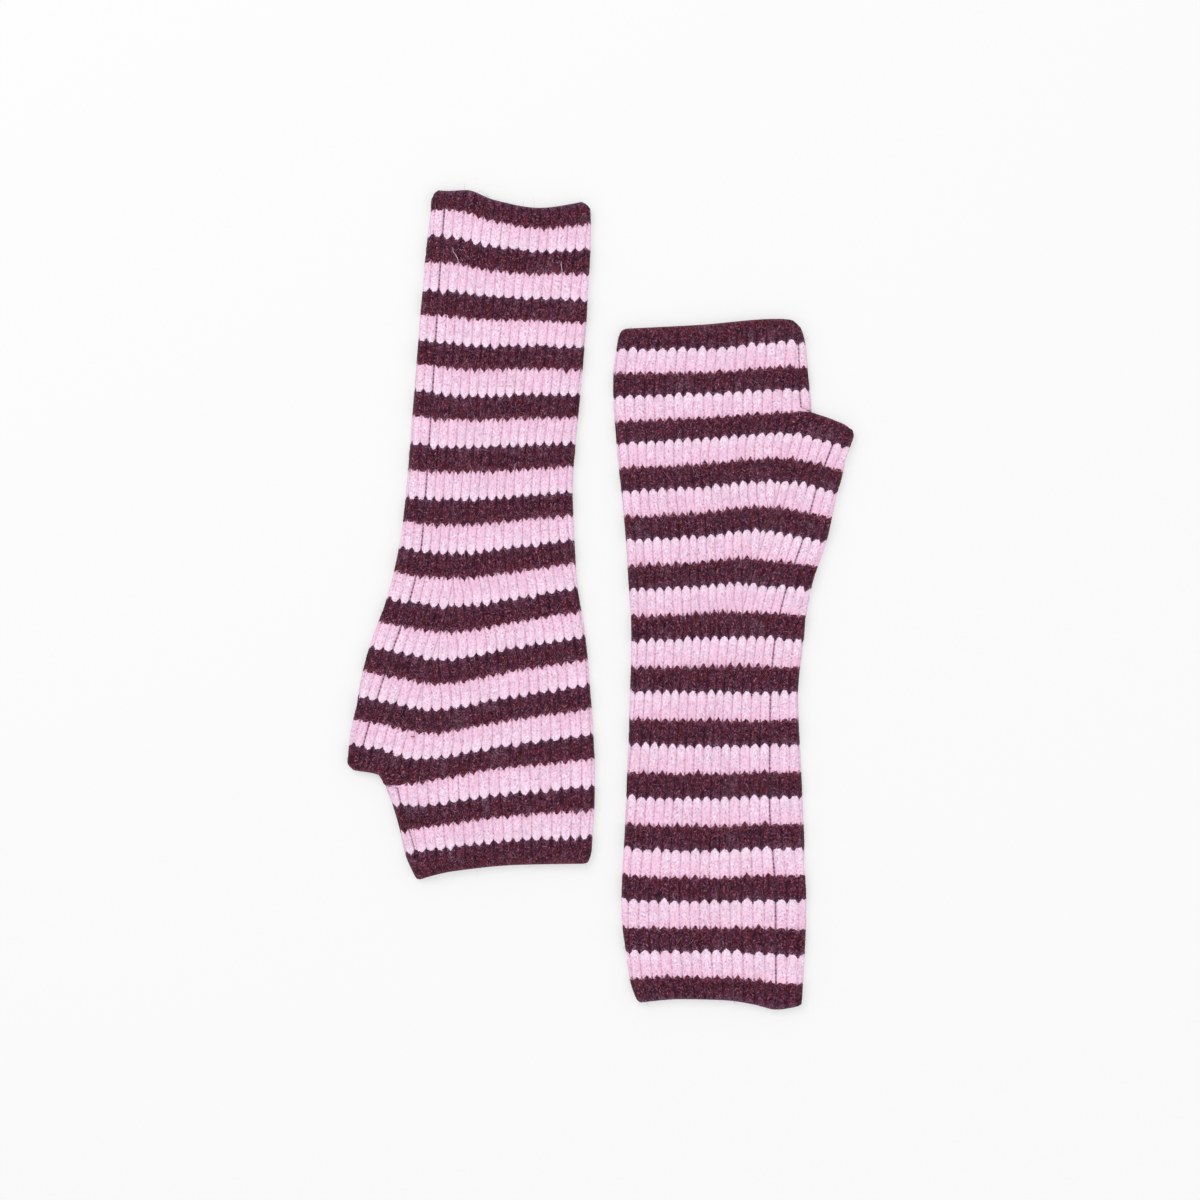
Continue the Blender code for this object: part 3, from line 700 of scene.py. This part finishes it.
def striped_wool():
    """Melange lambswool yarn, knitted as six courses burgundy and six pink in turn, and lightly felted."""
    material, shader, knit = start_material("striped_wool_knit")
    across = knit.node("ShaderNodeSeparateXYZ", {}, {"Vector": knit}, output=0)
    along = knit.node("ShaderNodeSeparateXYZ", {}, {"Vector": knit}, output=1)
    rib = across.math("FLOOR", across)
    in_rib = across - rib
    aside = abs(in_rib * 2 - 1)
    in_course = along % 1
    spot = Signal(material.node_tree, material.node_tree.nodes.new("ShaderNodeTexCoord").outputs["Object"])
    frayed = along + (felt(spot, 1.2, 1.0, 4.0) - 0.5) * 0.75
    pink = frayed.math("FLOOR", frayed / COURSES) % 2

    # Several dyed wools are carded into the yarn, so it is mottled finer than a stitch and has streaks
    x = across * RIB_PITCH
    y = along * COURSE_PITCH
    fleck = noise(across, x * 0.9, y, 1.15, detail=1.5) * 0.6 + felt(spot, 1.2, 1.5, 0.0) * 0.4
    hue = felt(spot, 0.55, 2.0, 1.0)
    spark = felt(spot, 1.8, 1.0, 2.0)
    streak = noise(across, x * 1.5, y * 0.2, 1.0, detail=1.0, z=91.0)
    stripe = (frayed / COURSES) % 1
    drift = noise(across, x, y, 0.09, detail=1.0, z=13.0)
    rib_tone = noise(across, rib * 7.3, y * 0.25, 0.35, detail=0.0, z=71.0)

    burgundy = fleck.node("ShaderNodeValToRGB", {"stops": (
        (0.33, rgb(12, 0, 2)), (0.44, rgb(55, 11, 27)),
        (0.56, rgb(99, 45, 64)), (0.69, rgb(176, 120, 144)),
    )}, {"Fac": fleck})
    burgundy = (hue.between(0.52, 0.66) * 0.5).mix(burgundy, rgb(102, 24, 36))
    burgundy = (hue.between(0.47, 0.34) * 0.6).mix(burgundy, rgb(50, 24, 50))
    burgundy = (stripe.between(0.72, 0.98) * 0.3).mix(burgundy, rgb(116, 28, 38))
    burgundy = (stripe.between(0.28, 0.02) * 0.4).mix(burgundy, rgb(84, 54, 84))
    burgundy = (spark.between(0.62, 0.76) * 0.4).mix(burgundy, rgb(160, 116, 140))
    clump = felt(spot, 0.42, 1.5, 7.0)
    burgundy = (clump.between(0.48, 0.32) * 0.55).mix(burgundy, rgb(30, 12, 28))
    burgundy = (clump.between(0.52, 0.7) * 0.25).mix(burgundy, rgb(122, 66, 84))
    burgundy = (streak.between(0.54, 0.3) * 0.6).mix(burgundy, rgb(34, 4, 16))

    rose = fleck.node("ShaderNodeValToRGB", {"stops": (
        (0.33, rgb(180, 132, 162)), (0.44, rgb(235, 199, 223)),
        (0.56, rgb(252, 222, 242)), (0.69, rgb(255, 250, 255)),
    )}, {"Fac": fleck})
    rose = (hue.between(0.54, 0.68) * 0.4).mix(rose, rgb(250, 192, 218))
    rose = (hue.between(0.46, 0.34) * 0.45).mix(rose, rgb(228, 212, 242))
    rose = (stripe.between(0.4, 0.02) * 0.3).mix(rose, rgb(246, 186, 212))
    rose = (stripe.between(0.5, 0.95) * 0.4).mix(rose, rgb(253, 236, 250))
    rose = (spark.between(0.38, 0.28) * 0.5).mix(rose, rgb(170, 130, 160))
    rose = (rib_tone.between(0.45, 0.7) * 0.3).mix(rose, rgb(246, 192, 222))
    rose = (streak.between(0.5, 0.3) * 0.4).mix(rose, rgb(214, 160, 194))
    # Painted shade: each groove darkens as a bead for every course, where the ribs shade it, some beads
    # fainter than others
    valley = across.math("FLOOR", across + 0.5)
    bead = (1 - abs(in_course * 2 - 1)).between(0.1, 0.8)
    uneven = noise(across, valley * 5.3, y, 0.5, detail=1.0, z=33.0).between(0.34, 0.6)
    groove_shade = aside.between(0.74, 1.0) * (0.2 + bead * uneven * 0.9)
    rose = (groove_shade * 0.7).mix(rose, rgb(212, 122, 170))
    # The dark seam thread tinges the groove that it lies in
    sewn_edge = across.between(0.14, 0.0) + across.between(PANEL_RIBS - 0.14, PANEL_RIBS)
    rose = (sewn_edge * 0.35).mix(rose, rgb(176, 104, 148))
    # Dark wool of the course before shows between the ribs where a pink stripe starts
    start = (frayed % COURSES).between(1.1, 0.3) * pink
    rose = (start * aside.between(0.72, 0.92) * (0.5 + uneven * 0.45)).mix(rose, rgb(84, 42, 62))
    # Painted shade: the burgundy is darker towards the grooves between its ribs, unevenly along them
    burgundy = (aside.between(0.6, 1.0) * (0.25 + uneven * 0.35)).mix(burgundy, rgb(28, 6, 20))
    # Fuzz of one stripe lies over the border of the next
    fuzz = felt(spot, 1.6, 1.0, 3.0)
    near_border = abs((along / COURSES + 0.5) % 1 - 0.5).between(0.17, 0.0)
    burgundy = (near_border * fuzz.between(0.52, 0.66) * 0.6).mix(burgundy, rgb(178, 132, 162))
    rose = (near_border * fuzz.between(0.48, 0.34) * 0.5).mix(rose, rgb(176, 118, 150))
    # Here and there the fuzz is thicker
    haze = felt(spot, 0.13, 3.0, 5.0).between(0.54, 0.7) * fuzz.between(0.46, 0.6)
    burgundy = (haze * 0.3).mix(burgundy, rgb(142, 110, 130))

    colour = pink.mix(burgundy, rose)
    colour = (drift.between(0.35, 0.65) * 0.05).mix(colour, rgb(120, 66, 90))
    fibre = noise(across, x * 0.8, y * 1.1, 2.6, detail=4.0, z=5.0)
    crease = abs(in_course * 2 - 1) ** 6
    height = fibre * 1.1 - crease * 0.1 - (1 - aside).between(0.16, 0.0) * 0.15
    bump = height.node("ShaderNodeBump", {}, {"Height": height, "Strength": 0.9, "Distance": 0.4 * MM})

    tree = material.node_tree
    tree.links.new(colour.socket, shader.inputs["Base Color"])
    tree.links.new(bump.socket, shader.inputs["Normal"])
    shader.inputs["Roughness"].default_value = 0.92
    shader.inputs["Specular IOR Level"].default_value = 0.12
    shader.inputs["Sheen Weight"].default_value = 0.1
    shader.inputs["Sheen Roughness"].default_value = 0.5
    shader.inputs["Sheen Tint"].default_value = rgb(255, 214, 232)
    return material


wool = striped_wool()
left_cloth = Cloth(LEFT_ARM, LEFT_HAND, seed=3)
right_cloth = Cloth(RIGHT_ARM, RIGHT_HAND, seed=8)
for name, cloth, place in (("left", left_cloth, LEFT_PLACE), ("right", right_cloth, RIGHT_PLACE)):
    piece = knitted(f"{name}_knit", cloth, place, wool)
    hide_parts(f"{name}_warmer")
    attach(piece, "root")


# The seams: the panel's edges are overlocked together with dark polyester thread. Its short slanting loops
# show as a dotted line in the groove between two ribs, down the arm and gusset, and again down the hand.

SEAM_STEP = 1 / COURSES  # between two loops, in stripes
SEAM_START = 0.12        # from the arm hem to the first loop, in stripes
SEAM_STOP = 0.1          # least left to the hem after the last loop
HAND_SEAM_START = 0.05   # from where the hand seam has risen
SEAM_JITTER = 0.03
HAND_THREAD = 0.62       # the hand's seam lies deeper in the wool, so less of each loop shows
THREAD_FULLNESS = (0.45, 1.2)
THREAD_TAPER = (0.5, 1.0, 1.0, 1.0, 0.5)
THREAD_SIDES = 6
SEAM_THREAD_RADIUS = 0.3
SEAM_LOOP_HALF = 0.34
SEAM_LOOP_SLANT = 0.2
SEAM_LOOP_HEIGHTS = (0.12, 0.34, 0.28, 0.34, 0.12)   # over the groove
LOOP_REACH = (0.85, 1.15)
SLANT_UNEVENNESS = 0.06
STRAND_MARGIN = 0.1      # round each strand's square of the flat map
STRAND_FILL = 0.8
UPRIGHT = 1e-6           # gives an upright stretch of a strand a side too


def strands(name, paths, radii, sides, material, knit=None):
    """Many thin tubes with closed ends as one mesh: their paths by strand and point in metres, a radius for
    each point, and the rib and course that a strand takes its colour from."""
    count, steps = paths.shape[:2]
    ahead = np.gradient(paths, axis=1)
    ahead /= np.linalg.norm(ahead, axis=-1, keepdims=True)
    aside = np.cross(ahead, (0.0, 0.0, 1.0)) + (UPRIGHT, 0.0, 0.0)
    aside /= np.linalg.norm(aside, axis=-1, keepdims=True)
    lift = np.cross(ahead, aside)
    turn = np.arange(sides) * 2 * np.pi / sides
    around = aside[:, :, None] * np.cos(turn)[:, None] + lift[:, :, None] * np.sin(turn)[:, None]
    points = paths[:, :, None] + around * np.broadcast_to(radii, (count, steps))[:, :, None, None]

    index = np.arange(count * steps * sides).reshape(count, steps, sides)
    onward = np.roll(index, -1, axis=2)
    walls = np.stack((index[:, :-1], onward[:, :-1], onward[:, 1:], index[:, 1:]), axis=-1).reshape(-1, 4)
    starts = index[:, 0, ::-1]
    ends = index[:, -1]
    cell = math.ceil(math.sqrt(count))
    corner = np.stack((np.arange(count) % cell, np.arange(count) // cell), axis=-1)
    step, side = np.meshgrid(np.arange(steps - 1), np.arange(sides), indexing="ij")
    square = np.stack((
        np.stack((side, step + 1), axis=-1), np.stack((side + 1, step + 1), axis=-1),
        np.stack((side + 1, step + 2), axis=-1), np.stack((side, step + 2), axis=-1),
    ), axis=-2)
    square = square / (sides, steps + 1)
    cap = np.stack((turn / (2 * np.pi), 0.5 + 0.4 * np.cos(turn)), axis=-1) / (1, steps + 1)
    far_cap = cap + (0, steps / (steps + 1))
    wall_flat = (corner[:, None, None, None] + STRAND_MARGIN + STRAND_FILL * square).reshape(-1, 2)
    start_flat = (corner[:, None] + STRAND_MARGIN + STRAND_FILL * cap[::-1]).reshape(-1, 2)
    end_flat = (corner[:, None] + STRAND_MARGIN + STRAND_FILL * far_cap).reshape(-1, 2)

    mesh = bpy.data.meshes.new(name)
    mesh.from_pydata(points.reshape(-1, 3).tolist(), [], walls.tolist() + starts.tolist() + ends.tolist())
    layer = mesh.uv_layers.new(name="OFBake")
    flat = np.concatenate((wall_flat, start_flat, end_flat)) / cell
    layer.data.foreach_set("uv", flat.astype(np.float32).ravel())
    if knit is not None:
        layer = mesh.uv_layers.new(name="knit")
        wall_and_caps = ((steps - 1) * sides * 4, sides, sides)
        corners = np.concatenate([np.repeat(knit, times, axis=0) for times in wall_and_caps])
        layer.data.foreach_set("uv", corners.astype(np.float32).ravel())
    mesh.shade_smooth()
    mesh.materials.append(material)
    made = bpy.data.objects.new(name, mesh)
    bpy.context.scene.collection.objects.link(made)
    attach(made, "root")


def seam_thread():
    """Spun polyester thread, dark aubergine with a slight gloss."""
    material = bpy.data.materials.new("seam_thread")
    material.use_nodes = True
    tree = material.node_tree
    shader = tree.nodes["Principled BSDF"]
    spot = Signal(tree, tree.nodes.new("ShaderNodeTexCoord").outputs["Object"])
    grain = spot.node("ShaderNodeTexNoise", {}, {"Vector": spot, "Scale": 2500.0, "Detail": 2.0})
    colour = grain.between(0.35, 0.65).mix(rgb(66, 28, 50), rgb(128, 76, 110))
    bump = grain.node("ShaderNodeBump", {}, {"Height": grain, "Strength": 0.5, "Distance": 0.1 * MM})
    tree.links.new(colour.socket, shader.inputs["Base Color"])
    tree.links.new(bump.socket, shader.inputs["Normal"])
    shader.inputs["Roughness"].default_value = 0.6
    return material


def seam_loops(lay, x, random):
    """Paths of the loops across a seam that lies at these x on the upper face."""
    y = glide(x[:, None], lay.x_marks, lay.y_marks)[:, 0]
    ahead = np.stack((np.gradient(x), np.gradient(y)), axis=-1)
    ahead /= np.linalg.norm(ahead, axis=-1, keepdims=True)
    aside = np.stack((-ahead[:, 1], ahead[:, 0]), axis=-1)
    across = np.linspace(-1, 1, len(SEAM_LOOP_HEIGHTS))
    reach = SEAM_LOOP_HALF * random.uniform(*LOOP_REACH, len(x))[:, None]
    slant = SEAM_LOOP_SLANT + random.normal(0, SLANT_UNEVENNESS, len(x))[:, None]
    at = np.stack((x, y), axis=-1)[:, None]
    at = at + aside[:, None] * (across * reach)[..., None] + ahead[:, None] * (across * slant)[..., None]
    z = 2 * FOLD_RADIUS + np.broadcast_to(SEAM_LOOP_HEIGHTS, at.shape[:2])
    return np.concatenate((at, z[..., None]), axis=-1)


thread = seam_thread()
for name, arm_table, hand_table, place, seed in (
    ("left", LEFT_ARM, LEFT_HAND, LEFT_PLACE, 21),
    ("right", RIGHT_ARM, RIGHT_HAND, RIGHT_PLACE, 22),
):
    random = np.random.default_rng(seed)
    arm_lines = np.arange(SEAM_START, THUMB_HEM - SEAM_STOP, SEAM_STEP)
    arm_lines += random.uniform(-SEAM_JITTER, SEAM_JITTER, len(arm_lines))
    hand_lines = np.arange(SEAM_RISE[-1] + HAND_SEAM_START, HAND_HEM - SEAM_STOP, SEAM_STEP)
    lay, row = arm_lay(arm_table, arm_lines)
    arm_loops = seam_loops(lay, row.seam_x, random)
    lay, row = hand_lay(hand_table, hand_lines)
    hand_x = hand_seam(lay, row, hand_lines) - QUARTER_TURN + FOLD_RADIUS + lay.thumb_fold
    hand_loops = seam_loops(lay, hand_x, random)
    loops = placed(np.concatenate((arm_loops, hand_loops)), place)
    fullness = random.uniform(*THREAD_FULLNESS, len(loops))
    fullness[len(arm_lines) :] *= HAND_THREAD
    thickness = SEAM_THREAD_RADIUS * MM * fullness[:, None] * THREAD_TAPER
    strands(f"{name}_seam_thread", loops, thickness, THREAD_SIDES, thread)

# Loose fibres: woollen yarn is hairy, so short curled fibres stand a little off the ribs all over. Each has a
# shade of the stripe that it grows from, and may lie over the next one.

FIBRES = 7500            # on each warmer
FIBRE_POINTS = 4
FIBRE_SIDES = 3
FIBRE_RADIUS = 0.028
FIBRE_UNEVENNESS = 0.5   # of the thickness
FIBRE_TAPER = (1.0, 0.9, 0.8, 0.4)
FIBRE_LENGTH = (0.75, 0.4)     # mean and spread of its logarithm
FIBRE_CURL = 0.5
FIBRE_STAND = (0.05, 0.3)
FIBRE_ARCH = (0.2, np.pi * 0.8)
GROWS_WHERE = 0.45       # least of the upper face that shows at a fibre's root
FOLD_SIDE = 0.5          # a root that faces sideways more than this is on a fold
FOLD_REACH = 0.25        # of its length that a fibre may stand out from a fold


def loose_wool():
    """Single wool fibres in a paler shade of the stripe they come from."""
    material, shader, knit = start_material("loose_wool")
    along = knit.node("ShaderNodeSeparateXYZ", {}, {"Vector": knit}, output=1)
    across = knit.node("ShaderNodeSeparateXYZ", {}, {"Vector": knit}, output=0)
    pink = along.math("FLOOR", along / COURSES) % 2
    shade = noise(across, across * 9.0, along * 9.0, 1.0, detail=0.0)
    dark = shade.between(0.35, 0.65).mix(rgb(104, 62, 80), rgb(172, 134, 154))
    pale = shade.between(0.35, 0.65).mix(rgb(240, 196, 222), rgb(255, 236, 248))
    material.node_tree.links.new(pink.mix(dark, pale).socket, shader.inputs["Base Color"])
    shader.inputs["Roughness"].default_value = 0.8
    shader.inputs["Sheen Weight"].default_value = 0.3
    return material


fluff = loose_wool()
for name, cloth, place, seed in (
    ("left", left_cloth, LEFT_PLACE, 31),
    ("right", right_cloth, RIGHT_PLACE, 32),
):
    random = np.random.default_rng(seed)
    surface = cloth.surface()
    shown = np.nan_to_num(cloth.points[..., 4]) * (surface[..., 2] > FOLD_RADIUS)
    rows, columns = np.nonzero(shown > GROWS_WHERE)
    picked = random.choice(len(rows), FIBRES, replace=False)
    rows, columns = rows[picked], columns[picked]
    roots = surface[rows, columns]
    out = cloth.points[rows, columns][:, 2:4]
    length = random.lognormal(*FIBRE_LENGTH, FIBRES)[:, None]
    heading = random.uniform(0, 2 * np.pi, FIBRES)[:, None]
    heading = heading + np.cumsum(random.normal(0, FIBRE_CURL, (FIBRES, FIBRE_POINTS)), axis=1)
    step = length / (FIBRE_POINTS - 1)
    x = np.cumsum(np.cos(heading) * step, axis=1)
    y = np.cumsum(np.sin(heading) * step, axis=1)
    stand = random.uniform(*FIBRE_STAND, FIBRES)[:, None] * np.sin(np.linspace(*FIBRE_ARCH, FIBRE_POINTS))
    flat_ways = np.stack((x - x[:, :1], y - y[:, :1], np.zeros_like(x)), axis=-1)
    on_fold = abs(out[:, :1]) > FOLD_SIDE
    off_fold = np.sign(out[:, :1]) * abs(flat_ways[..., 0]) * FOLD_REACH
    flat_ways[..., 0] = np.where(on_fold, off_fold, flat_ways[..., 0])
    lifted = np.stack((out[:, :1] * stand, np.zeros_like(stand), out[:, 1:] * stand), axis=-1)
    paths = placed(roots[:, None] + flat_ways + lifted, place)
    thickness = FIBRE_RADIUS * MM * random.lognormal(0, FIBRE_UNEVENNESS, FIBRES)[:, None] * FIBRE_TAPER
    knit = np.stack((cloth.across[columns], cloth.lines[rows] * COURSES), axis=-1)
    strands(f"{name}_fibres", paths, thickness, FIBRE_SIDES, fluff, knit)

# Stray bits on the left warmer: two pale hairs caught in the wool of the forearm, and one red stitch of waste
# yarn left in the gusset. Each is a single strand that lies on the ribs.

HAIR_RADIUS = 0.11
LONG_HAIR = ((-8.2, 128.9), (-8.1, 127.4), (-6.9, 125.5), (-5.9, 123.5), (-5.5, 121.3))
SHORT_HAIR = ((40.7, 122.6), (40.4, 121.2), (40.6, 119.8), (40.8, 118.5), (40.5, 117.2))
RED_STITCH = ((-27.0, -90.3), (-26.6, -90.5), (-26.1, -90.6), (-25.6, -90.5), (-25.2, -90.2))
RED_STITCH_RADIUS = 0.24
STRAND_HEIGHTS = (-0.1, 0.15, 0.2, 0.12, -0.1)   # over the ribs
STRAND_TAPER = (0.5, 1, 1, 1, 0.5)
STRAND_POINTS = 17
STRAND_SIDES = 8


def stray_strand(name, low, high):
    """A fine strand whose colour varies along it."""
    material = bpy.data.materials.new(name)
    material.use_nodes = True
    tree = material.node_tree
    shader = tree.nodes["Principled BSDF"]
    spot = Signal(tree, tree.nodes.new("ShaderNodeTexCoord").outputs["Object"])
    shade = felt(spot, 1.5, 2.0, 6.0).between(0.35, 0.65)
    tree.links.new(shade.mix(low, high).socket, shader.inputs["Base Color"])
    shader.inputs["Roughness"].default_value = 0.55
    return material


pale_hair = stray_strand("pale_hair", rgb(206, 170, 186), rgb(240, 214, 226))
red_yarn = stray_strand("red_yarn", rgb(124, 32, 42), rgb(168, 66, 74))
for name, path, radius, material in (
    ("left_long_hair", LONG_HAIR, HAIR_RADIUS, pale_hair),
    ("left_short_hair", SHORT_HAIR, HAIR_RADIUS, pale_hair),
    ("left_red_stitch", RED_STITCH, RED_STITCH_RADIUS, red_yarn),
):
    steps = np.linspace(0, len(path) - 1, STRAND_POINTS)
    marks = np.arange(len(path))
    heights = glide(steps, marks, STRAND_HEIGHTS) + 2 * FOLD_RADIUS + RIB_HEIGHT
    x, y = (glide(steps, marks, values) for values in zip(*path))
    strand = placed(np.stack((x, y, heights), axis=-1)[None], LEFT_PLACE)
    thickness = np.interp(steps, marks, STRAND_TAPER) * radius * MM
    strands(name, strand, thickness, STRAND_SIDES, material)

# The surface they lie on: plain pale board under wide soft studio light, seen straight from above as in the
# photograph. It isn't part of the object.

FLOOR_SIZE = 6.0
FLOOR_CLEARANCE = 0.05 * MM
FLOOR_COLOUR = (0.4, 0.4, 0.4, 1.0)
FLOOR_GLOW = 0.485       # a light table, so the shadows stay faint
DAYLIGHT = 0.85
CAMERA_HEIGHT = 1.5
FRAME_WIDTH = 0.540
SENSOR_WIDTH = 36.0

bpy.ops.object.select_all(action="DESELECT")
bpy.ops.mesh.primitive_plane_add(size=FLOOR_SIZE, location=(0, 0, -FLOOR_CLEARANCE))
floor = bpy.context.object
floor.name = "floor"
board = bpy.data.materials.new("pale_board")
board.use_nodes = True
board_shader = board.node_tree.nodes["Principled BSDF"]
board_shader.inputs["Base Color"].default_value = FLOOR_COLOUR
board_shader.inputs["Roughness"].default_value = 0.9
board_shader.inputs["Specular IOR Level"].default_value = 0.1
board_shader.inputs["Emission Color"].default_value = (1.0, 1.0, 1.0, 1.0)
board_shader.inputs["Emission Strength"].default_value = FLOOR_GLOW
floor.data.materials.append(board)

world = bpy.data.worlds.new("studio")
world.use_nodes = True
world.node_tree.nodes["Background"].inputs["Color"].default_value = (1.0, 1.0, 1.0, 1.0)
world.node_tree.nodes["Background"].inputs["Strength"].default_value = DAYLIGHT
bpy.context.scene.world = world

for name, spot, tilt, size, power in (
    ("key_light", (-0.9, 1.1, 1.6), (-0.6, -0.5, 0.0), 1.2, 16.0),
    ("fill_light", (1.2, -0.6, 1.6), (0.35, 0.6, 0.0), 1.6, 7.0),
):
    lamp = bpy.data.lights.new(name, "AREA")
    lamp.size = size
    lamp.energy = power
    light = bpy.data.objects.new(name, lamp)
    light.location = spot
    light.rotation_euler = tilt
    bpy.context.scene.collection.objects.link(light)

lens = bpy.data.cameras.new("camera")
lens.sensor_width = SENSOR_WIDTH
lens.lens = SENSOR_WIDTH * CAMERA_HEIGHT / FRAME_WIDTH
camera = bpy.data.objects.new("camera", lens)
camera.location = (0, 0, CAMERA_HEIGHT)
bpy.context.scene.collection.objects.link(camera)
bpy.context.scene.camera = camera
bpy.context.scene.view_settings.view_transform = "Standard"
